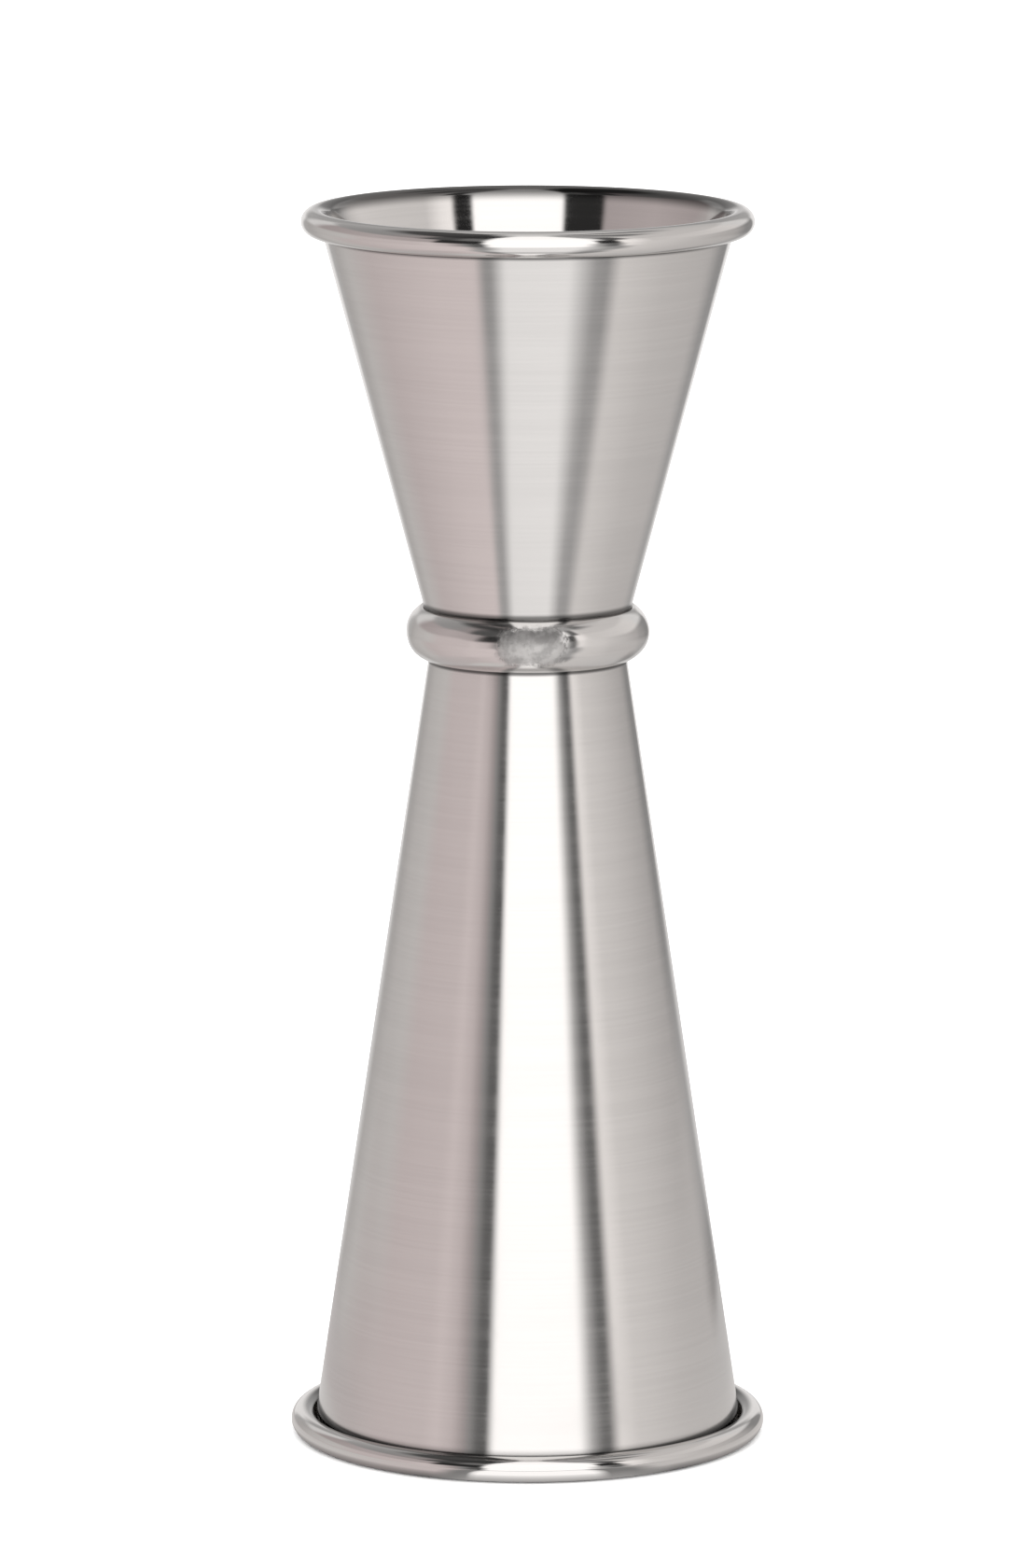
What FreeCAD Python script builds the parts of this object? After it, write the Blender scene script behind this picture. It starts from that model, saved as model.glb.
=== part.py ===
import FreeCAD, Part
import Sketcher
import math
import os

# Double-ended conical bar measure (jigger), 25 ml over 50 ml, in millimetres.
#
# Two stainless steel cups stand floor to floor on one vertical axis. Both are the same
# pressing at different sizes: a flat floor, a straight conical wall, and a mouth that is
# rolled outwards into a hollow bead. The floors are joined by projection welds, and a
# hollow half-round ring, wedged between the two tapers, hides the joint.
#
# The origin is the centre of the foot, on the surface that the measure stands on: the
# large cup's mouth faces down and the small cup's mouth faces up, along +Z.

PARTS_FOLDER = "parts"
SHEET_NAME = "Dimensions"

# Every driving dimension: alias, value (mm, degrees or a count) and what it is.
DIMENSIONS = [
    ("sheet_thickness", 0.8, "stainless sheet of both cups and of the ring"),
    ("corner_radius", 2.0, "outer radius of the corner between floor and wall"),
    ("upper_height", 40.3, "floor to mouth of the small cup, outside"),
    ("upper_base_radius", 9.3, "outer radius that the small cup's cone has at its floor's level"),
    ("upper_cone_angle", 15.0, "slope of the small cup's wall from the axis"),
    ("upper_rim_radius", 21.5, "outermost radius of the small cup's rolled rim"),
    ("upper_curl_radius", 1.22, "outside radius of the small cup's roll"),
    ("upper_curl_gap", 0.2, "from the small cup's wall to the end of its roll"),
    ("lower_height", 77.9, "floor to mouth of the large cup, outside"),
    ("lower_base_radius", 9.1, "outer radius that the large cup's cone has at its floor's level"),
    ("lower_cone_angle", 8.45, "slope of the large cup's wall from the axis"),
    ("lower_rim_radius", 22.8, "outermost radius of the large cup's rolled rim"),
    ("lower_curl_radius", 1.2, "outside radius of the large cup's roll"),
    ("lower_curl_gap", 0.3, "from the large cup's wall to the end of its roll"),
    ("rim_land", 0.2, "width of the flat that each mouth is trued to"),
    ("ring_radius", 11.6, "outermost radius of the waist ring"),
    ("ring_bead_radius", 2.77, "outside radius of the waist ring's section"),
    ("weld_gap", 0.2, "gap that the welds leave between the two floors"),
    ("weld_count", 3, "number of projection welds"),
    ("weld_radius", 1.5, "radius of one weld"),
    ("weld_circle_radius", 4.5, "radius of the circle that the welds lie on"),
]

HORIZONTAL_AXIS = -1  # a sketch's own axes, as Sketcher numbers them
VERTICAL_AXIS = -2
START, END, CENTRE = 1, 2, 3  # the points of a line or an arc, as Sketcher numbers them


def make_sheet(doc):
    """The spreadsheet that holds the driving dimensions."""
    sheet = doc.addObject("Spreadsheet::Sheet", SHEET_NAME)
    for row, (alias, value, meaning) in enumerate(DIMENSIONS, start=1):
        sheet.set(f"A{row}", meaning)
        sheet.set(f"B{row}", str(value))
        sheet.setAlias(f"B{row}", alias)
    doc.recompute()
    return sheet


def plane_of(body, role):
    """One of the body's own origin planes."""
    return next(f for f in body.Origin.OriginFeatures if f.Role == role)


def make_section(doc, name):
    """A body and the empty sketch of its half section: x is the radius and y runs along the axis."""
    body = doc.addObject("PartDesign::Body", name)
    body.Label = name
    sketch = body.newObject("Sketcher::SketchObject", name + "_section")
    sketch.AttachmentSupport = [(plane_of(body, "XZ_Plane"), "")]
    sketch.MapMode = "FlatFace"
    return body, sketch


def line(sketch, start, end):
    """Adds a straight line from start to end and returns its number."""
    return sketch.addGeometry(Part.LineSegment(FreeCAD.Vector(*start), FreeCAD.Vector(*end)))


def arc(sketch, centre, radius, start_deg, end_deg):
    """Adds an arc that runs counterclockwise between two angles and returns its number."""
    circle = Part.Circle(FreeCAD.Vector(*centre), FreeCAD.Vector(0, 0, 1), radius)
    return sketch.addGeometry(
        Part.ArcOfCircle(circle, math.radians(start_deg), math.radians(end_deg))
    )


def on_circle(centre, radius, angle_deg):
    """The point of a circle at an angle."""
    angle = math.radians(angle_deg)
    return (centre[0] + radius * math.cos(angle), centre[1] + radius * math.sin(angle))


def constrain(sketch, *what):
    """Adds one constraint, given as Sketcher.Constraint takes it."""
    return sketch.addConstraint(Sketcher.Constraint(*what))


def drive(sketch, name, expression, *what):
    """Adds one dimension whose value comes from the spreadsheet."""
    index = constrain(sketch, *what)
    sketch.renameConstraint(index, name)
    sketch.setExpression("Constraints." + name, expression)


def revolve(body, sketch):
    """Turns the body's section through a full circle about the axis."""
    turn = body.newObject("PartDesign::Revolution", body.Name + "_turned")
    turn.Profile = sketch
    turn.ReferenceAxis = (sketch, ["V_Axis"])
    turn.Angle = 360
    sketch.Visibility = False
    body.Tip = turn


def make_cup(doc, sheet, name, size):
    """One cup in its own frame: floor on the XY plane, mouth towards +Z.

    size is the prefix of the cup's own aliases, upper or lower. The wall's outer face runs
    up its cone, over the flare, across the trued land and round the roll to the free end.
    The wetted face comes back over the same arcs, one sheet thickness away.
    """
    thickness, corner = sheet.sheet_thickness, sheet.corner_radius
    height, base = sheet.get(size + "_height"), sheet.get(size + "_base_radius")
    slope = sheet.get(size + "_cone_angle")
    rim, curl = sheet.get(size + "_rim_radius"), sheet.get(size + "_curl_radius")
    sine, cosine = math.sin(math.radians(slope)), math.cos(math.radians(slope))

    # First places for the geometry, near enough for the constraints to settle it.
    corner_centre = (base + (corner * sine - corner) / cosine, corner)
    curl_x = rim - curl
    flare_x = curl_x - sheet.rim_land
    flare = ((flare_x - base) * cosine + thickness - height * sine) / (1 - sine)
    flare_centre = (flare_x, height - flare)
    curl_centre = (curl_x, height - curl)
    free_end_deg = -125

    def beside_wall(centre, radius, side):
        """The point of an arc where the wall is tangent to it: side 1 is outside, -1 inside."""
        return (centre[0] + side * radius * cosine, centre[1] - side * radius * sine)

    body, sketch = make_section(doc, name)
    floor_out = line(sketch, (0, 0), (corner_centre[0], 0))
    corner_out = arc(sketch, corner_centre, corner, -90, -slope)
    wall_out = line(
        sketch,
        beside_wall(corner_centre, corner, 1),
        beside_wall(flare_centre, flare - thickness, -1),
    )
    flare_out = arc(sketch, flare_centre, flare - thickness, 90, 180 - slope)
    land_out = line(sketch, (flare_x, height - thickness), (curl_x, height - thickness))
    curl_out = arc(sketch, curl_centre, curl - thickness, free_end_deg, 90)
    free_end = line(
        sketch,
        on_circle(curl_centre, curl - thickness, free_end_deg),
        on_circle(curl_centre, curl, free_end_deg),
    )
    curl_in = arc(sketch, curl_centre, curl, free_end_deg, 90)
    land_in = line(sketch, (curl_x, height), (flare_x, height))
    flare_in = arc(sketch, flare_centre, flare, 90, 180 - slope)
    wall_in = line(
        sketch,
        beside_wall(flare_centre, flare, -1),
        beside_wall(corner_centre, corner - thickness, 1),
    )
    corner_in = arc(sketch, corner_centre, corner - thickness, -90, -slope)
    floor_in = line(sketch, (corner_centre[0], thickness), (0, thickness))
    axis = line(sketch, (0, thickness), (0, 0))
    cone_foot = sketch.addGeometry(Part.Point(FreeCAD.Vector(base, 0, 0)), True)

    # Smooth joints: every pair meets end to end and tangent.
    smooth_joints = [
        (floor_out, END, corner_out, START),
        (corner_out, END, wall_out, START),
        (wall_out, END, flare_out, END),
        (flare_out, START, land_out, START),
        (land_out, END, curl_out, END),
        (curl_in, END, land_in, START),
        (land_in, END, flare_in, START),
        (flare_in, END, wall_in, START),
        (wall_in, END, corner_in, END),
        (corner_in, START, floor_in, START),
    ]
    sharp_joints = [
        (curl_out, START, free_end, START),
        (free_end, END, curl_in, START),
        (floor_in, END, axis, START),
        (axis, END, floor_out, START),
        (curl_out, CENTRE, curl_in, CENTRE),
        (flare_out, CENTRE, flare_in, CENTRE),
        (corner_out, CENTRE, corner_in, CENTRE),
        (floor_out, START, HORIZONTAL_AXIS, START),
    ]
    for joint in smooth_joints:
        constrain(sketch, "Tangent", *joint)
    for joint in sharp_joints:
        constrain(sketch, "Coincident", *joint)
    for level in (floor_out, land_out, land_in, floor_in):
        constrain(sketch, "Horizontal", level)
    constrain(sketch, "Vertical", axis)
    constrain(sketch, "Parallel", wall_in, wall_out)
    constrain(sketch, "PointOnObject", cone_foot, START, wall_out)
    constrain(sketch, "PointOnObject", cone_foot, START, HORIZONTAL_AXIS)
    constrain(sketch, "PointOnObject", curl_in, CENTRE, free_end)

    cell = SHEET_NAME + "."
    own = cell + size + "_"
    drive(sketch, "base_radius", own + "base_radius",
          "DistanceX", HORIZONTAL_AXIS, START, cone_foot, START, base)
    drive(sketch, "wall_angle", f"90 - {own}cone_angle",
          "Angle", wall_out, math.radians(90 - slope))
    drive(sketch, "corner_radius", cell + "corner_radius", "Radius", corner_out, corner)
    drive(sketch, "curl_radius", own + "curl_radius", "Radius", curl_in, curl)
    drive(sketch, "curl_hollow", f"{own}curl_radius - {cell}sheet_thickness",
          "Radius", curl_out, curl - thickness)
    drive(sketch, "curl_centre", f"{own}rim_radius - {own}curl_radius",
          "DistanceX", HORIZONTAL_AXIS, START, curl_in, CENTRE, curl_x)
    drive(sketch, "height", own + "height",
          "DistanceY", HORIZONTAL_AXIS, START, land_in, START, height)
    drive(sketch, "rim_land", cell + "rim_land",
          "DistanceX", land_in, END, land_in, START, sheet.rim_land)
    drive(sketch, "curl_gap", own + "curl_gap",
          "Distance", free_end, END, wall_out, sheet.get(size + "_curl_gap"))
    revolve(body, sketch)
    return body


def make_ring(doc, sheet, name):
    """The hollow half-round ring in its own frame, centred on the plane between the floors.

    Each edge of its section lies along the outer face of one cup's cone.
    """
    bead = sheet.ring_bead_radius
    hollow = bead - sheet.sheet_thickness
    centre = (sheet.ring_radius - bead, 0)
    first_end_deg = {START: -77, END: 70}

    body, sketch = make_section(doc, name)
    outside = arc(sketch, centre, bead, first_end_deg[START], first_end_deg[END])
    inside = arc(sketch, centre, hollow, first_end_deg[START], first_end_deg[END])
    constrain(sketch, "Coincident", outside, CENTRE, inside, CENTRE)
    constrain(sketch, "PointOnObject", outside, CENTRE, HORIZONTAL_AXIS)

    cell = SHEET_NAME + "."
    drive(sketch, "bead_centre", f"{cell}ring_radius - {cell}ring_bead_radius",
          "DistanceX", HORIZONTAL_AXIS, START, outside, CENTRE, centre[0])
    drive(sketch, "bead_radius", cell + "ring_bead_radius", "Radius", outside, bead)
    drive(sketch, "bead_hollow", f"{cell}ring_bead_radius - {cell}sheet_thickness",
          "Radius", inside, hollow)

    # The upper edge closes the ends of the two arcs and the lower edge their starts.
    for size, side, tip in (("upper", 1, END), ("lower", -1, START)):
        edge = line(
            sketch,
            on_circle(centre, hollow, first_end_deg[tip]),
            on_circle(centre, bead, first_end_deg[tip]),
        )
        base, half_gap = sheet.get(size + "_base_radius"), side * sheet.weld_gap / 2
        cone_foot = sketch.addGeometry(Part.Point(FreeCAD.Vector(base, half_gap, 0)), True)
        constrain(sketch, "Coincident", inside, tip, edge, START)
        constrain(sketch, "Coincident", outside, tip, edge, END)
        constrain(sketch, "PointOnObject", cone_foot, START, edge)
        drive(sketch, size + "_cone_foot", f"{cell}{size}_base_radius",
              "DistanceX", HORIZONTAL_AXIS, START, cone_foot, START, base)
        drive(sketch, size + "_half_gap", f"{side} * {cell}weld_gap / 2",
              "DistanceY", HORIZONTAL_AXIS, START, cone_foot, START, half_gap)
        drive(sketch, size + "_edge_angle", f"{side} * (90 - {cell}{size}_cone_angle)",
              "Angle", edge, math.radians(side * (90 - sheet.get(size + "_cone_angle"))))
    revolve(body, sketch)
    return body


def make_welds(doc, sheet, name):
    """The projection welds between the two floors, as separate discs, centred on that plane."""
    discs = []
    for index in range(int(sheet.weld_count)):
        disc = doc.addObject("Part::Cylinder", f"weld_{index + 1}")
        bearing = f"{index} * 360 / {SHEET_NAME}.weld_count"
        disc.setExpression("Radius", SHEET_NAME + ".weld_radius")
        disc.setExpression("Height", SHEET_NAME + ".weld_gap")
        disc.setExpression(
            "Placement.Base.x", f"{SHEET_NAME}.weld_circle_radius * cos({bearing} * 1 deg)"
        )
        disc.setExpression(
            "Placement.Base.y", f"{SHEET_NAME}.weld_circle_radius * sin({bearing} * 1 deg)"
        )
        disc.setExpression("Placement.Base.z", f"-{SHEET_NAME}.weld_gap / 2")
        discs.append(disc)
    group = doc.addObject("Part::Compound", name)
    group.Label = name
    group.Links = discs
    return group


def place_parts(sheet, upper_cup, lower_cup, ring, welds):
    """Stands the cups floor to floor, with the ring and the welds on the plane between them."""
    upper_cup.setExpression(
        "Placement.Base.z", f"{SHEET_NAME}.lower_height + {SHEET_NAME}.weld_gap"
    )
    lower_cup.Placement.Rotation = FreeCAD.Rotation(FreeCAD.Vector(1, 0, 0), 180)
    lower_cup.setExpression("Placement.Base.z", SHEET_NAME + ".lower_height")
    for part in (ring, welds):
        part.setExpression(
            "Placement.Base.z", f"{SHEET_NAME}.lower_height + {SHEET_NAME}.weld_gap / 2"
        )


def check_document(doc, parts):
    """Stops the build if any object failed or any part is missing, empty or not valid."""
    for obj in doc.Objects:
        if {"Invalid", "Error"} & set(obj.State):
            raise RuntimeError(f"{obj.Label} did not recompute: {obj.State}")
    for part in parts:
        if part.Shape.isNull() or not part.Shape.isValid() or not part.Shape.Solids:
            raise RuntimeError(f"{part.Label} has no valid shape")


def main():
    doc = FreeCAD.newDocument("bar_jigger")
    sheet = make_sheet(doc)
    upper_cup = make_cup(doc, sheet, "upper_cup", "upper")
    lower_cup = make_cup(doc, sheet, "lower_cup", "lower")
    ring = make_ring(doc, sheet, "waist_ring")
    welds = make_welds(doc, sheet, "floor_spot_welds")
    place_parts(sheet, upper_cup, lower_cup, ring, welds)
    doc.recompute()

    parts = (upper_cup, lower_cup, ring, welds)
    check_document(doc, parts)
    os.makedirs(PARTS_FOLDER, exist_ok=True)
    for part in parts:
        part.Shape.exportStep(os.path.join(PARTS_FOLDER, part.Label + ".step"))
        print(f"{part.Label}: {len(part.Shape.Solids)} solid(s), {part.Shape.Volume:.1f} mm3")


main()
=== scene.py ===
import bpy
import math
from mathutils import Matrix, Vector, noise as smooth_noise


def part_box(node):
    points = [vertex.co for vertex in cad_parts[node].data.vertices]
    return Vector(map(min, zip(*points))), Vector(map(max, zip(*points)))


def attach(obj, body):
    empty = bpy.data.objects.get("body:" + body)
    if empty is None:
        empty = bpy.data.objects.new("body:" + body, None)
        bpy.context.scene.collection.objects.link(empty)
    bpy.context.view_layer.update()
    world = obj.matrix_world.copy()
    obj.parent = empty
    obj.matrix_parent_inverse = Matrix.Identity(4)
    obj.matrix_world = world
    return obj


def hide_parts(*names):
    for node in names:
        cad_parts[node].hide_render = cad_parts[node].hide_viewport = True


# A double-ended bar measure in stainless steel, on a plain pale floor. The frame gives every place and
# overall size. Lengths are in metres unless a name ends in _MM; angles are in degrees.

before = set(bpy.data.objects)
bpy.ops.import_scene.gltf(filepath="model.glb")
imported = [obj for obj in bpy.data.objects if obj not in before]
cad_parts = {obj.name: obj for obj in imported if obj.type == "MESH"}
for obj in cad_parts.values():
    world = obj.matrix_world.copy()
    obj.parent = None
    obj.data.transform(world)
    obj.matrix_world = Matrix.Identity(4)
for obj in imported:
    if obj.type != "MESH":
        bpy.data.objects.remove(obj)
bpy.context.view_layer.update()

# ---------------------------------------------------------------- sizes

MM = 0.001
SHEET_MM = 0.8
CORNER_MM = 2.0  # outside radius between floor and wall
RIM_LAND_MM = 0.2  # the flat that each mouth is trued to
RING_BEAD_MM = 2.77  # outside radius of the waist ring's section
EDGE_NOSE_MM = 0.12  # how far a rolled sheet's cut edge is rounded
RING_EDGE_MM = 0.45  # how far the ring's outer edge is rounded back from the cups
RING_DENT_MM = 0.06  # how uneven hand finishing has left the ring's outside
RING_DENT_SIZE_MM = 2.6  # how wide one such dent or rise is
RING_DENT_FADE = 6  # the power of height by which the unevenness fades beside the cups

# Each cup's slope from the axis, the outer radius that its cone has at its floor's level, its roll's outside
# radius, and where on the roll the sheet ends.
CUPS = {
    "upper": {"slope": 15.0, "base_mm": 9.3, "curl_mm": 1.22, "free_end": -118.8},
    "lower": {"slope": 8.45, "base_mm": 9.1, "curl_mm": 1.2, "free_end": -139.8},
}

# How finely the turned pieces are divided, around and along their sections.
SEGMENTS = 288
FLOOR_ROWS = 4
CORNER_ROWS = 10
WALL_ROWS = 24
FLARE_OUT_ROWS = 10
FLARE_IN_ROWS = 18
CURL_OUT_ROWS = 28
CURL_IN_ROWS = 44
CUT_EDGE_ROWS = 8
RING_OUT_ROWS = 48
RING_IN_ROWS = 24
RING_CORNER_ROWS = 6

ON_AXIS = 1e-7  # a radius under this is a pole
SHARP_EDGE = 40  # faces that meet at a larger angle have a sharp edge between them

# ---------------------------------------------------------------- profiles, in millimetres


def on_circle(centre, radius, angle):
    """The point of a circle at an angle."""
    turn = math.radians(angle)
    return (centre[0] + radius * math.cos(turn), centre[1] + radius * math.sin(turn))


def arc(centre, radius, start, end, steps):
    """Points along an arc, from the start angle to the end angle, both included."""
    return [on_circle(centre, radius, start + (end - start) * i / steps) for i in range(steps + 1)]


def straight(start, end, steps):
    """Points inside a straight run, without its two ends."""
    return [
        (start[0] + (end[0] - start[0]) * i / steps, start[1] + (end[1] - start[1]) * i / steps)
        for i in range(1, steps)
    ]


def cut_edge(centre, outer, thickness, angle):
    """The rounded cut edge of a sheet that ends at an angle on a roll, from its inside face outwards."""
    middle = outer - thickness / 2
    turn = math.radians(angle)
    points = []
    for i in range(1, CUT_EDGE_ROWS):
        sweep = math.pi * (i / CUT_EDGE_ROWS - 0.5)
        radius = middle + thickness / 2 * math.sin(sweep)
        past = turn - EDGE_NOSE_MM / radius * math.cos(sweep)
        points.append((centre[0] + radius * math.cos(past), centre[1] + radius * math.sin(past)))
    return points


def cup_profile(height, rim_radius, size):
    """A cup's closed half section, mouth up, as (zone, points) runs from the axis out and back.

    The zones are the finishes: the satin outside wall, the polished roll and the bright inside.
    """
    slope, base, curl, free_end = (size[key] for key in ("slope", "base_mm", "curl_mm", "free_end"))
    sine, cosine = math.sin(math.radians(slope)), math.cos(math.radians(slope))
    corner_centre = (base + CORNER_MM * (sine - 1) / cosine, CORNER_MM)
    curl_x = rim_radius - curl
    flare_x = curl_x - RIM_LAND_MM
    flare = ((flare_x - base) * cosine + SHEET_MM - height * sine) / (1 - sine)
    flare_centre = (flare_x, height - flare)
    curl_centre = (curl_x, height - curl)

    floor = [corner_centre[0] * i / FLOOR_ROWS for i in range(FLOOR_ROWS)]
    corner_out = arc(corner_centre, CORNER_MM, -90, -slope, CORNER_ROWS)
    flare_out = arc(flare_centre, flare - SHEET_MM, 180 - slope, 90, FLARE_OUT_ROWS)
    curl_out = arc(curl_centre, curl - SHEET_MM, 90, free_end, CURL_OUT_ROWS)
    curl_in = arc(curl_centre, curl, free_end, 90, CURL_IN_ROWS)
    flare_in = arc(flare_centre, flare, 90, 180 - slope, FLARE_IN_ROWS)
    corner_in = arc(corner_centre, CORNER_MM - SHEET_MM, -slope, -90, CORNER_ROWS)
    return [
        ("floor", [(x, 0) for x in floor]),
        ("wall", corner_out + straight(corner_out[-1], flare_out[0], WALL_ROWS)),
        ("roll", flare_out + curl_out),
        ("roll", cut_edge(curl_centre, curl, SHEET_MM, free_end)),
        ("roll", curl_in + flare_in),
        ("inside", straight(flare_in[-1], corner_in[0], WALL_ROWS)),
        ("inside", corner_in + [(x, SHEET_MM) for x in reversed(floor)]),
    ]


def ring_profile(radius):
    """The waist ring's closed half section about its own mid-plane: outside, edges, then inside."""
    centre = (radius - RING_BEAD_MM, 0)
    hollow = RING_BEAD_MM - SHEET_MM

    def cone_angle(circle, side, size):
        """Where on a circle about the section's centre the cup's cone crosses it."""
        slope = math.radians(size["slope"])
        sine, cosine = math.sin(slope), math.cos(slope)
        foot = size["base_mm"] - centre[0]
        along = -foot * sine + math.sqrt(circle**2 - (foot * cosine) ** 2)
        return math.degrees(math.atan2(side * along * cosine, foot + along * sine))

    top_out = cone_angle(RING_BEAD_MM, 1, CUPS["upper"])
    top_in = cone_angle(hollow, 1, CUPS["upper"])
    low_out = cone_angle(RING_BEAD_MM, -1, CUPS["lower"])
    low_in = cone_angle(hollow, -1, CUPS["lower"])
    back = math.degrees(RING_EDGE_MM / RING_BEAD_MM)

    def rounded(before, corner, after):
        """A soft corner between two points, pulled towards the corner."""
        points = []
        for i in range(1, RING_CORNER_ROWS):
            f = i / RING_CORNER_ROWS
            weights = ((1 - f) ** 2, 2 * f * (1 - f), f**2)
            pulls = list(zip(weights, (before, corner, after)))
            points.append(tuple(sum(weight * pull[axis] for weight, pull in pulls) for axis in (0, 1)))
        return points

    outside = arc(centre, RING_BEAD_MM, low_out + back, top_out - back, RING_OUT_ROWS)
    inside = arc(centre, hollow, top_in, low_in, RING_IN_ROWS)
    top_corner = on_circle(centre, RING_BEAD_MM, top_out)
    low_corner = on_circle(centre, RING_BEAD_MM, low_out)
    share = RING_EDGE_MM / SHEET_MM
    top_seat = tuple(c + (e - c) * share for c, e in zip(top_corner, inside[0]))
    low_seat = tuple(c + (e - c) * share for c, e in zip(low_corner, inside[-1]))
    return [
        ("ring", outside + rounded(outside[-1], top_corner, top_seat)),
        ("ring", [top_seat] + inside + [low_seat]),
        ("ring", rounded(low_seat, low_corner, outside[0])),
    ]


# ---------------------------------------------------------------- meshes


def lathe(name, runs, zones, centre_z, flipped=False, closed=False):
    """A turned piece from (zone, points) runs, standing at a height on the Z axis.

    A point on the axis becomes a pole. zones maps each zone to its material.
    """
    profile = [(r * MM, z * MM, zone) for zone, points in runs for r, z in points]
    if closed:
        profile.append(profile[0])
    lengths = [0.0]
    for (r0, z0, _), (r1, z1, _) in zip(profile, profile[1:]):
        lengths.append(lengths[-1] + math.hypot(r1 - r0, z1 - z0))

    side = -1 if flipped else 1
    vertices, rings = [], []
    for index, (r, z, _) in enumerate(profile):
        if closed and index == len(profile) - 1:
            rings.append(rings[0])
            continue
        start = len(vertices)
        count = SEGMENTS if r > ON_AXIS else 1
        for i in range(count):
            # A flipped piece is turned over about X, so its angle runs the other way.
            turn = side * 2 * math.pi * i / SEGMENTS
            vertices.append((r * math.cos(turn), r * math.sin(turn), centre_z + side * z))
        rings.append([start + i % count for i in range(SEGMENTS + 1)])

    faces, uvs, materials = [], [], []
    slots = list(dict.fromkeys(zones.values()))
    for low, high, start, end, (_, _, zone) in zip(rings, rings[1:], lengths, lengths[1:], profile):
        for i in range(SEGMENTS):
            corners = [
                (low[i], (i / SEGMENTS, start)),
                (low[i + 1], ((i + 1) / SEGMENTS, start)),
                (high[i + 1], ((i + 1) / SEGMENTS, end)),
                (high[i], (i / SEGMENTS, end)),
            ]
            if low[i] == low[i + 1]:
                del corners[1]
            elif high[i] == high[i + 1]:
                del corners[2]
            faces.append([vertex for vertex, _ in corners])
            uvs.extend((u, v / lengths[-1]) for _, (u, v) in corners)
            materials.append(slots.index(zones[zone]))

    mesh = bpy.data.meshes.new(name)
    mesh.from_pydata(vertices, [], faces)
    layer = mesh.uv_layers.new(name="around_and_along")
    layer.data.foreach_set("uv", [value for uv in uvs for value in uv])
    mesh.polygons.foreach_set("material_index", materials)
    for material in slots:
        mesh.materials.append(material)
    mesh.shade_smooth()
    mesh.set_sharp_from_angle(angle=math.radians(SHARP_EDGE))
    mesh.validate()
    piece = bpy.data.objects.new(name, mesh)
    bpy.context.collection.objects.link(piece)
    return piece


# ---------------------------------------------------------------- materials


def new_material(name):
    """A material with an empty node tree."""
    material = bpy.data.materials.new(name)
    material.use_nodes = True
    material.node_tree.nodes.clear()
    return material


def add(tree, kind, inputs=(), **settings):
    """Adds a node. inputs holds (socket, value or another node's output) pairs."""
    node = tree.nodes.new("ShaderNode" + kind)
    for key, value in settings.items():
        setattr(node, key, value)
    for socket, value in inputs:
        if isinstance(value, bpy.types.NodeSocket):
            tree.links.new(value, node.inputs[socket])
        else:
            node.inputs[socket].default_value = value
    return node


def spread(tree, value, low, high, to_low=0.0, to_high=1.0):
    """Maps a value's range to another, smoothly and clamped."""
    return add(
        tree,
        "MapRange",
        [("Value", value), ("From Min", low), ("From Max", high), ("To Min", to_low), ("To Max", to_high)],
        interpolation_type="SMOOTHSTEP",
    ).outputs["Result"]


def math_node(tree, operation, *values):
    """A Math node's result."""
    return add(tree, "Math", list(enumerate(values)), operation=operation).outputs[0]


def noise(tree, vector, scale, detail=2.0, roughness=0.5):
    """A Noise Texture's value, with scale in cells for each unit of the vector."""
    return add(
        tree,
        "TexNoise",
        [("Vector", vector), ("Scale", scale), ("Detail", detail), ("Roughness", roughness)],
    ).outputs["Fac"]


def turned(tree, position, around, along):
    """Coordinates that wind round the Z axis without a seam.

    around is the number of cells in one radian and along is the number in a metre of height.
    """
    split = add(tree, "SeparateXYZ", [("Vector", position)])
    flat = add(tree, "CombineXYZ", [("X", split.outputs["X"]), ("Y", split.outputs["Y"])])
    outwards = add(tree, "VectorMath", [(0, flat.outputs[0])], operation="NORMALIZE")
    circle = add(tree, "VectorMath", [(0, outwards.outputs[0])], operation="SCALE")
    circle.inputs["Scale"].default_value = around
    height = math_node(tree, "MULTIPLY", split.outputs["Z"], along)
    lift = add(tree, "CombineXYZ", [("Z", height)])
    total = add(tree, "VectorMath", [(0, circle.outputs[0]), (1, lift.outputs[0])], operation="ADD")
    return total.outputs[0]


def blend_colour(tree, factor, first, second, kind="MIX"):
    """A colour Mix node's result. Its colour sockets share their names, so they go by number."""
    return add(
        tree,
        "Mix",
        [("Factor", factor), (6, first), (7, second)],
        data_type="RGBA",
        blend_type=kind,
    ).outputs[2]


def bump(tree, height, depth, normal=None):
    """A normal raised by a height from 0 to 1 over a depth in metres, on top of another normal."""
    inputs = [("Height", height), ("Distance", depth), ("Strength", 1.0)]
    if normal is not None:
        inputs.append(("Normal", normal))
    return add(tree, "Bump", inputs).outputs["Normal"]


# The size of a surface's marks: cells in a radian around the axis and in a metre along it, or, for marks
# that don't run around, cells in a metre.
FINE_TURNING = (0.8, 5200)
BROAD_TURNING = (0.5, 900)
SWELL = (0.9, 26)
HANDLING = 95.0
JOINT_EDGE = 900.0
JOINT_MOTTLE = 1100.0
JOINT_RIPPLE = 600.0
WELD_TINT = 700.0
WELD_SKIN = 2500.0

# A Noise Texture's values lie mostly between these.
NOISE_SPAN = (0.35, 0.65)
WIDE_NOISE_SPAN = (0.3, 0.7)

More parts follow.
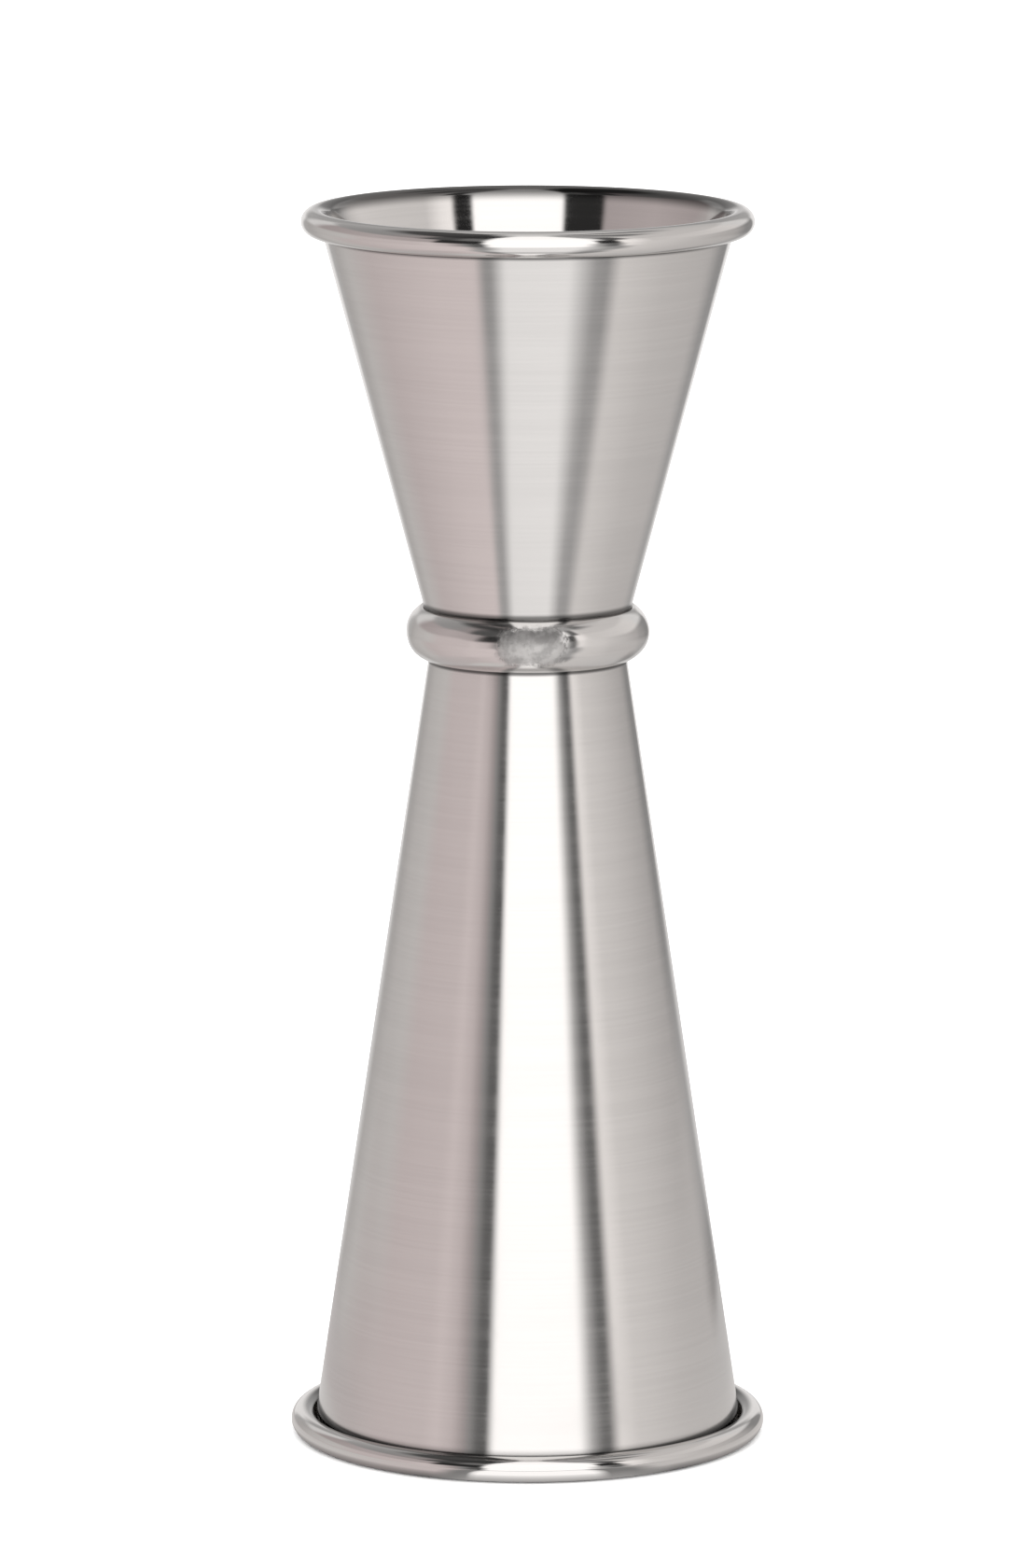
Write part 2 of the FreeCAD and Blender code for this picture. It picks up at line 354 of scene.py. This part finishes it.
DULL_SHARE = 0.955  # a turning mark's colour, as a share of the plain metal's
JOINT_RAGGED = 1.1  # how far noise pushes the joint's edge about
JOINT_FADE = (1.8, 1.2)  # where the joint's patch starts and where it is whole
JOINT_DARKER_FROM = (-0.7, 0.8)  # the heights, in half sizes of the joint, over which it turns darker
JOINT_DARKER_SHARES = (0.80, 0.26)  # the share of colour left below and above them
JOINT_SPOTS = (0.82, 1.18)  # the darkest and the lightest spots, as shares of the colour round them
JOINT_DULLER = 0.25  # roughness added to the metal's own
JOINT_RIPPLE_DEPTH = 45e-6
WELD_SKIN_DEPTH = 20e-6
WELD_ROUGHNESS = (0.35, 0.6)
TURNED_ALIGNMENT = 0.25  # the anisotropic rotation that stretches gloss across the turning marks


def ground_joint(tree, position, middle, tone, rough, normal):
    """A dull, uneven patch about a point, mixed into a metal's tone, roughness and normal.

    It is darkest along its upper edge.
    """
    away = add(tree, "VectorMath", [(0, position), (1, middle)], operation="SUBTRACT").outputs["Vector"]
    scale = tuple(1 / half for half in JOINT_HALF)
    shaped = add(tree, "VectorMath", [(0, away), (1, scale)], operation="MULTIPLY").outputs["Vector"]
    squared = add(tree, "VectorMath", [(0, shaped), (1, shaped)], operation="MULTIPLY").outputs["Vector"]
    distance = add(tree, "VectorMath", [(0, squared)], operation="LENGTH").outputs["Value"]
    ragged = noise(tree, position, JOINT_EDGE, 3.0, 0.6)
    patch = spread(tree, math_node(tree, "MULTIPLY_ADD", ragged, JOINT_RAGGED, distance), *JOINT_FADE)
    height = add(tree, "SeparateXYZ", [("Vector", shaped)]).outputs["Z"]
    top_darkening = spread(tree, height, *JOINT_DARKER_FROM, *JOINT_DARKER_SHARES)
    mottle = spread(tree, noise(tree, position, JOINT_MOTTLE, 3.0, 0.6), *NOISE_SPAN, *JOINT_SPOTS)
    dull = blend_colour(tree, 1.0, tone, math_node(tree, "MULTIPLY", top_darkening, mottle), "MULTIPLY")
    tone = blend_colour(tree, patch, tone, dull)
    rough = math_node(tree, "MULTIPLY_ADD", patch, JOINT_DULLER, rough)
    ripple = math_node(tree, "MULTIPLY", patch, noise(tree, position, JOINT_RIPPLE, 2.0, 0.4))
    return tone, rough, bump(tree, ripple, JOINT_RIPPLE_DEPTH, normal)


def steel(name, colour, roughness, lines, waves, anisotropy=0.0, joint=None):
    """Stainless steel that was turned on a lathe about Z.

    roughness is its (lowest, highest) value over fine turning marks and handling marks. lines is the
    marks' depth, and waves is the depth of the slow unevenness of hand-finished sheet. Rings of painted
    shade darken its colour. joint is the middle of a brazed joint that was ground flush by hand.
    """
    material = new_material(name)
    tree = material.node_tree
    position = add(tree, "TexCoord").outputs["Object"]

    fine = noise(tree, turned(tree, position, *FINE_TURNING), 1.0)
    broad = noise(tree, turned(tree, position, *BROAD_TURNING), 1.0)
    handling = noise(tree, position, HANDLING, 4.0, 0.6)
    swell = noise(tree, turned(tree, position, *SWELL), 1.0, 1.0)
    marks = math_node(tree, "MULTIPLY_ADD", fine, 0.5, math_node(tree, "MULTIPLY", broad, 0.5))
    wear = math_node(tree, "MULTIPLY_ADD", marks, 0.6, math_node(tree, "MULTIPLY", handling, 0.4))
    rough = spread(tree, wear, *NOISE_SPAN, *roughness)

    dull = tuple(DULL_SHARE * value for value in colour)
    tone = blend_colour(tree, spread(tree, marks, *WIDE_NOISE_SPAN), (*dull, 1.0), (*colour, 1.0))
    split = add(tree, "SeparateXYZ", [("Vector", position)])
    flat = add(tree, "CombineXYZ", [("X", split.outputs["X"]), ("Y", split.outputs["Y"])])
    radius = add(tree, "VectorMath", [(0, flat.outputs[0])], operation="LENGTH").outputs["Value"]
    section = add(tree, "CombineXYZ", [("X", radius), ("Y", split.outputs["Z"])]).outputs[0]
    # Painted shade: each ring darkens the colour about a circle on the section, where creases and lips lie
    # in shade.
    for dark_radius, dark_height, core, reach, left in PAINTED_SHADE_RINGS:
        away = add(
            tree,
            "VectorMath",
            [(0, section), (1, (dark_radius * MM, dark_height * MM, 0.0))],
            operation="DISTANCE",
        ).outputs["Value"]
        painted_shade = spread(tree, away, core * MM, reach * MM, left, 1.0)
        tone = blend_colour(tree, 1.0, tone, painted_shade, "MULTIPLY")

    normal = bump(tree, swell, waves)
    normal = bump(tree, marks, lines, normal)
    if joint:
        tone, rough, normal = ground_joint(tree, position, joint, tone, rough, normal)
    shader = add(
        tree,
        "BsdfPrincipled",
        [("Base Color", tone), ("Metallic", 1.0), ("Roughness", rough), ("Normal", normal)],
    )
    if anisotropy:
        tangent = add(tree, "Tangent", direction_type="RADIAL", axis="Z").outputs["Tangent"]
        tree.links.new(tangent, shader.inputs["Tangent"])
        shader.inputs["Anisotropic"].default_value = anisotropy
        shader.inputs["Anisotropic Rotation"].default_value = TURNED_ALIGNMENT
    add(tree, "OutputMaterial", [("Surface", shader.outputs[0])])
    return material


STEEL_COLOUR = (0.69, 0.68, 0.67)
RING_COLOUR = (0.71, 0.70, 0.69)
ring_low, ring_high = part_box("waist_ring")
foot_low, foot_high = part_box("lower_cup")
_, mouth_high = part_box("upper_cup")
# Painted shade, where the steel is darker all the way round: radius, height, core, reach and the share of
# colour left in the core, with lengths in millimetres. The first two paint the shade in the creases behind
# the rolled rims, the next two the shade in the creases beside the ring, and the last two paint a dark
# reflection and shade along each mouth's lip.
PAINTED_SHADE_RINGS = [
    (foot_high.x / MM - 1.85, foot_low.z / MM + 2.2, 0.25, 0.95, 0.12),
    (mouth_high.x / MM - 1.9, mouth_high.z / MM - 2.4, 0.2, 0.6, 0.1),
    (10.0, ring_high.z / MM + 0.1, 0.05, 0.50, 0.30),
    (9.5, ring_low.z / MM, 0.05, 0.36, 0.20),
    (mouth_high.x / MM - 1.95, mouth_high.z / MM - 0.3, 0.30, 1.35, 0.20),
    (foot_high.x / MM - 1.5, foot_low.z / MM, 0.15, 1.15, 0.30),
]
# The middle and the half sizes of the ring's joint, which faces the front.
JOINT = (0.35 * MM, ring_low.y, (ring_low.z + ring_high.z) / 2 + 0.2 * MM)
JOINT_HALF = (3.1 * MM, 4.0 * MM, 1.75 * MM)
SATIN = steel(
    "satin_steel", STEEL_COLOUR, roughness=(0.10, 0.16), lines=0.4e-6, waves=60e-6, anisotropy=0.6
)
BRIGHT = steel("bright_inside_steel", STEEL_COLOUR, roughness=(0.05, 0.10), lines=0.2e-6, waves=30e-6)
ROLL = steel("polished_rim_steel", STEEL_COLOUR, roughness=(0.05, 0.10), lines=0.2e-6, waves=20e-6)
RING = steel(
    "polished_ring_steel", RING_COLOUR, roughness=(0.09, 0.15), lines=0.4e-6, waves=60e-6, joint=JOINT
)


def weld_steel():
    """Fused steel with a straw to blue heat tint and a rough skin."""
    material = new_material("weld_steel")
    tree = material.node_tree
    position = add(tree, "TexCoord").outputs["Object"]
    heat = add(tree, "ValToRGB", [("Fac", noise(tree, position, WELD_TINT, 3.0))])
    tints = ((0.3, (0.30, 0.28, 0.27)), (0.5, (0.38, 0.27, 0.15)), (0.7, (0.16, 0.17, 0.26)))
    heat.color_ramp.elements.remove(heat.color_ramp.elements[1])
    for index, (place, colour) in enumerate(tints):
        stop = heat.color_ramp.elements[0] if index == 0 else heat.color_ramp.elements.new(place)
        stop.position = place
        stop.color = (*colour, 1.0)
    skin = noise(tree, position, WELD_SKIN, 4.0, 0.6)
    shader = add(
        tree,
        "BsdfPrincipled",
        [
            ("Base Color", heat.outputs["Color"]),
            ("Metallic", 1.0),
            ("Roughness", spread(tree, skin, *WIDE_NOISE_SPAN, *WELD_ROUGHNESS)),
            ("Normal", bump(tree, skin, WELD_SKIN_DEPTH)),
        ],
    )
    add(tree, "OutputMaterial", [("Surface", shader.outputs[0])])
    return material


# ---------------------------------------------------------------- the measure


def make_cup(name, node, flipped):
    """A cup as one turned sheet, in the place of its CAD node."""
    size = CUPS[node.split("_")[0]]
    low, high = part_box(node)
    height = (high.z - low.z) / MM
    rim_radius = (high.x - low.x) / 2 / MM
    zones = {"floor": SATIN, "wall": SATIN, "roll": ROLL, "inside": BRIGHT}
    floor_height = high.z if flipped else low.z
    cup = lathe(name, cup_profile(height, rim_radius, size), zones, floor_height, flipped)
    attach(cup, "root")
    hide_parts(node)


def dent(ring, radius, middle, half_height):
    """Gives the ring's outside the unevenness of hand finishing, fading to nothing beside the cups."""
    centre = (radius - RING_BEAD_MM) * MM
    for vertex in ring.data.vertices:
        across = math.hypot(vertex.co.x, vertex.co.y)
        outwards = Vector((vertex.co.x, vertex.co.y, 0.0)) * ((across - centre) / across)
        outwards.z = vertex.co.z - middle
        if outwards.length < (RING_BEAD_MM - EDGE_NOSE_MM) * MM:
            continue
        fade = max(0.0, 1 - (abs(outwards.z) / half_height) ** RING_DENT_FADE)
        wave = smooth_noise.noise(vertex.co / (RING_DENT_SIZE_MM * MM))
        vertex.co += outwards.normalized() * (RING_DENT_MM * MM * wave * fade)


def make_ring():
    """The hollow ring round the waist, in the place of its CAD node."""
    upper_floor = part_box("upper_cup")[0].z
    lower_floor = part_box("lower_cup")[1].z
    middle = (upper_floor + lower_floor) / 2
    radius = (ring_high.x - ring_low.x) / 2 / MM
    ring = lathe("waist_bead", ring_profile(radius), {"ring": RING}, middle, closed=True)
    dent(ring, radius, middle, (ring_high.z - ring_low.z) / 2)
    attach(ring, "root")
    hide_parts("waist_ring")


make_cup("small_cup", "upper_cup", flipped=False)
make_cup("large_cup", "lower_cup", flipped=True)
make_ring()
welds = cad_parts["floor_spot_welds"]
welds.data.materials.clear()
welds.data.materials.append(weld_steel())

# ---------------------------------------------------------------- floor and light


FLOOR_REACH = 12.0  # from the middle to each side, enough to fill every view
FLOOR_COLOUR = (0.92, 0.92, 0.92, 1.0)


def make_floor():
    """A plain pale floor."""
    mesh = bpy.data.meshes.new("floor")
    corners = [(x * FLOOR_REACH, y * FLOOR_REACH, 0) for x, y in ((-1, -1), (1, -1), (1, 1), (-1, 1))]
    mesh.from_pydata(corners, [], [(0, 1, 2, 3)])
    material = new_material("pale_floor")
    tree = material.node_tree
    shader = add(tree, "BsdfPrincipled", [("Base Color", FLOOR_COLOUR), ("Roughness", 0.9)])
    shader.inputs["Specular IOR Level"].default_value = 0.0
    add(tree, "OutputMaterial", [("Surface", shader.outputs[0])])
    mesh.materials.append(material)
    floor = bpy.data.objects.new("floor", mesh)
    bpy.context.collection.objects.link(floor)


PALE_WORLD = 2.0  # bright enough for the floor and the background to show as white
STEEL_GIVES_BACK = 0.68  # the share of light that the steel reflects
TENT_STEPS = 180  # around the tent
BRIGHTEST = 262  # a panel's level, just past white

# The tent that the steel mirrors. Each band holds (azimuth, level, tint) stops: azimuth 0 faces the camera
# and positive is to the right. A level is the value that polished steel shows there, out of 255. The band
# below the foot's roll is painted shade, a grey sheet for the floor's shade round the foot; SKIRT lies on
# the floor beside it, and NEAR, TABLE and FAR further out. WALL and HIGH stand upright, EAVES and ROOF lean
# in over the measure, and ZENITH is straight above it.
PINK = (1.0, 0.945, 0.94)
WARM = (1.0, 0.98, 0.97)
PLAIN = (1.0, 0.99, 0.985)

# Painted shade: the shaded floor beneath the foot's roll, as a grey band that only the steel mirrors.
SHADE_UNDER_FOOT = [
    (-180, 105, PLAIN), (-40, 108, PINK), (-25, 90, PLAIN), (-15, 150, PLAIN), (25, 150, PLAIN),
    (40, 90, PLAIN), (55, 112, WARM), (180, 105, PLAIN),
]
SKIRT = [
    (-180, 178, PLAIN), (-60, 188, WARM), (-24, 190, PINK), (-19, 122, PLAIN), (-15.5, 122, PLAIN),
    (-13.5, 255, PLAIN), (17.5, 255, PLAIN), (21, 122, PLAIN), (28, 122, PLAIN), (36, 190, WARM),
    (90, 185, WARM), (180, 178, PLAIN),
]
NEAR = [
    (-180, 165, PLAIN), (-60, 180, PINK), (-36, 196, PINK), (-27, 130, PLAIN), (-22, 130, PLAIN),
    (-14, 190, PLAIN), (26, 190, PLAIN), (37, 130, PLAIN), (47, 130, PLAIN), (57, 192, WARM),
    (180, 165, PLAIN),
]
TABLE = [
    (-180, 185, PLAIN), (-158, 185, PLAIN), (-148, 160, WARM), (-130, 177, WARM), (-105, 178, PINK),
    (-58, 196, PINK), (-36, 200, PINK), (-30, 155, PLAIN), (-25, 152, PLAIN), (-16, 222, PLAIN),
    (23, 224, PLAIN), (36, 154, PLAIN), (43, 152, PLAIN), (54, 201, WARM), (90, 184, WARM),
    (124, 176, WARM), (138, 140, WARM), (151, 132, PLAIN), (160, 185, PLAIN), (180, 185, PLAIN),
]
FAR = [
    (-180, 185, PLAIN), (-158, 185, PLAIN), (-148, 160, WARM), (-130, 178, WARM), (-105, 180, PINK),
    (-58, 196, PINK), (-32, 200, PINK), (-26, 142, PLAIN), (-22, 140, PLAIN), (-13, 222, PLAIN),
    (25, 224, PLAIN), (41, 150, PLAIN), (48, 140, PLAIN), (57, 201, WARM), (90, 184, WARM),
    (130, 174, WARM), (148, 150, PLAIN), (158, 185, PLAIN), (180, 185, PLAIN),
]
WALL = [
    (-180, 208, PLAIN), (-160, 208, PLAIN), (-155, 158, PLAIN), (-144, 158, WARM), (-128, 174, WARM),
    (-106, 182, WARM), (-90, 184, PINK), (-58, 189, PINK), (-50, 197, PINK), (-41, 184, PINK),
    (-35, 154, PINK), (-31, 128, PLAIN), (-27, 92, PLAIN), (-22.5, 78, PLAIN), (-18, BRIGHTEST, PLAIN),
    (28, BRIGHTEST, PLAIN), (35, 166, PLAIN), (40, 110, PLAIN), (43, 94, PLAIN), (45, 100, PLAIN),
    (51, 226, WARM), (62, 202, WARM), (90, 187, WARM), (128, 163, WARM), (144, 128, PLAIN),
    (156, 128, PLAIN), (160, 208, PLAIN), (180, 208, PLAIN),
]
HIGH = [
    (-180, 150, PLAIN), (-158, 150, PLAIN), (-150, 195, PLAIN), (-140, 195, PLAIN), (-130, 152, PINK),
    (-84, 168, PINK), (-50, 160, PINK), (-47, 40, PLAIN), (-24, 40, PLAIN), (-21, BRIGHTEST, PLAIN),
    (34, BRIGHTEST, PLAIN), (36, 35, PLAIN), (46, 35, PLAIN), (49, 238, WARM), (56, 228, WARM),
    (66, 195, WARM), (98, 198, WARM), (130, 205, WARM), (140, 200, PLAIN), (150, 200, PLAIN),
    (158, 150, PLAIN), (180, 150, PLAIN),
]
EAVES = [
    (-180, 165, PLAIN), (-120, 140, PLAIN), (-95, 135, PLAIN), (-66, 138, PINK), (-58, 75, PLAIN),
    (-43, 70, PLAIN), (-36, 105, PLAIN), (-26, 100, PLAIN), (-21, BRIGHTEST, PLAIN),
    (34, BRIGHTEST, PLAIN), (39, 225, PLAIN), (44, 80, PLAIN), (54, 80, PLAIN), (59, 205, WARM),
    (66, 190, WARM), (130, 188, WARM), (180, 165, PLAIN),
]
ROOF = [
    (-180, 190, PLAIN), (-163, 190, PLAIN), (-153, 62, PLAIN), (-110, 70, PLAIN), (-50, 48, PLAIN),
    (-28, 48, PLAIN), (-21, 255, PLAIN), (33, 255, PLAIN), (40, 150, PLAIN), (66, 150, PLAIN),
    (75, 105, PLAIN), (92, 105, PLAIN), (104, 185, WARM), (122, 170, PLAIN), (138, 95, PLAIN),
    (147, 95, PLAIN), (153, 190, PLAIN), (180, 190, PLAIN),
]
ZENITH = [
    (-180, 215, PLAIN), (180, 215, PLAIN),
]

# Where each band sits on the tent's section: (radius, height, band).
TENT_SECTION = [
    (0.0214, 0.0001, SHADE_UNDER_FOOT),
    (0.0221, 0.0001, SHADE_UNDER_FOOT),
    (0.0238, 0.0001, SKIRT),
    (0.036, 0.0001, SKIRT),
    (0.050, 0.0001, NEAR),
    (0.085, 0.0001, NEAR),
    (0.105, 0.0001, TABLE),
    (0.125, 0.0001, TABLE),
    (0.175, 0.0001, FAR),
    (0.30, 0.0001, FAR),
    (0.50, 0.0001, WALL),
    (0.50, 0.155, WALL),
    (0.50, 0.21, HIGH),
    (0.50, 0.39, HIGH),
    (0.50, 0.44, EAVES),
    (0.42, 0.60, EAVES),
    (0.34, 0.66, ROOF),
    (0.12, 0.77, ROOF),
    (0.06, 0.775, ZENITH),
    (0.0, 0.78, ZENITH),
]


def linear(level):
    """A display level out of 255 as scene light, by the sRGB curve."""
    value = level / 255
    return ((value + 0.055) / 1.055) ** 2.4 if value > 0.04 else value / 12.92


def azimuth_ramp(tree, azimuth, stops):
    """Colours the azimuth, from 0 at the back round the left to 1 at the back again."""
    ramp = add(tree, "ValToRGB", [("Fac", azimuth)])
    ramp.color_ramp.elements.remove(ramp.color_ramp.elements[1])
    for index, (angle, level, tint) in enumerate(stops):
        elements = ramp.color_ramp.elements
        place = angle / 360 + 0.5
        stop = elements[0] if index == 0 else elements.new(place)
        stop.position = place
        stop.color = (*(linear(level * share) / linear(BRIGHTEST) for share in tint), 1.0)
    return ramp.outputs["Color"]


def make_tent():
    """The studio's white panels, dark flags and grey sides, as the steel sees them.

    It gives no light to the floor, casts no shadow and isn't seen by the camera.
    """
    vertices, faces, uvs = [], [], []
    last = len(TENT_SECTION) - 1
    for r, z, _ in TENT_SECTION:
        for i in range(TENT_STEPS + 1):
            turn = math.radians(360 * i / TENT_STEPS - 180)
            vertices.append((r * math.sin(turn), -r * math.cos(turn), z))
    for k in range(last):
        for i in range(TENT_STEPS):
            corners = ((i, k), (i + 1, k), (i + 1, k + 1), (i, k + 1))
            faces.append([level * (TENT_STEPS + 1) + step for step, level in corners])
            uvs += [(step / TENT_STEPS, level / last) for step, level in corners]
    mesh = bpy.data.meshes.new("studio_tent")
    mesh.from_pydata(vertices, [], faces)
    mesh.uv_layers.new(name="azimuth_and_band").data.foreach_set("uv", [v for uv in uvs for v in uv])

    material = new_material("tent_light")
    tree = material.node_tree
    place = add(tree, "SeparateXYZ", [("Vector", add(tree, "TexCoord").outputs["UV"])])
    colour = azimuth_ramp(tree, place.outputs["X"], TENT_SECTION[0][2])
    for k in range(1, last + 1):
        band = TENT_SECTION[k][2]
        if band is TENT_SECTION[k - 1][2]:
            continue
        factor = add(
            tree,
            "MapRange",
            [("Value", place.outputs["Y"]), ("From Min", (k - 1) / last), ("From Max", k / last)],
        ).outputs["Result"]
        colour = blend_colour(tree, factor, colour, azimuth_ramp(tree, place.outputs["X"], band))
    glow = add(tree, "Emission", [("Color", colour), ("Strength", linear(BRIGHTEST) / STEEL_GIVES_BACK)])
    add(tree, "OutputMaterial", [("Surface", glow.outputs[0])])
    mesh.materials.append(material)

    tent = bpy.data.objects.new("studio_tent", mesh)
    bpy.context.collection.objects.link(tent)
    tent.visible_camera = False
    tent.visible_diffuse = False
    tent.visible_shadow = False


def make_world():
    """Even white light from all round."""
    world = bpy.data.worlds.new("pale_room")
    world.use_nodes = True
    background = world.node_tree.nodes["Background"]
    background.inputs["Color"].default_value = (1.0, 1.0, 1.0, 1.0)
    background.inputs["Strength"].default_value = PALE_WORLD
    bpy.context.scene.world = world


make_floor()
make_tent()
make_world()

# ---------------------------------------------------------------- camera

CAMERA_DISTANCE = 0.8925  # from the measure's axis, on the level
CAMERA_HEIGHT = 0.21635
CAMERA_PITCH = 9.74  # degrees down
CAMERA_YAW = 0.124  # degrees to the left, which puts the measure a little right of the middle
LENS_MM = 217.66
SENSOR_MM = 36.0
CLIP = (0.05, 50.0)  # the nearest and furthest that the camera sees
MOST_BOUNCES = 32

camera_data = bpy.data.cameras.new("camera")
camera_data.lens = LENS_MM
camera_data.sensor_width = SENSOR_MM
camera_data.clip_start, camera_data.clip_end = CLIP
camera = bpy.data.objects.new("camera", camera_data)
camera.location = (0.0, -CAMERA_DISTANCE, CAMERA_HEIGHT)
camera.rotation_euler = (math.radians(90 - CAMERA_PITCH), 0.0, math.radians(CAMERA_YAW))
bpy.context.collection.objects.link(camera)
bpy.context.scene.camera = camera
bpy.context.scene.view_settings.view_transform = "Standard"
# Light bounces many times inside the polished cup and behind the rolled rims.
bpy.context.scene.cycles.max_bounces = MOST_BOUNCES
bpy.context.scene.cycles.glossy_bounces = MOST_BOUNCES
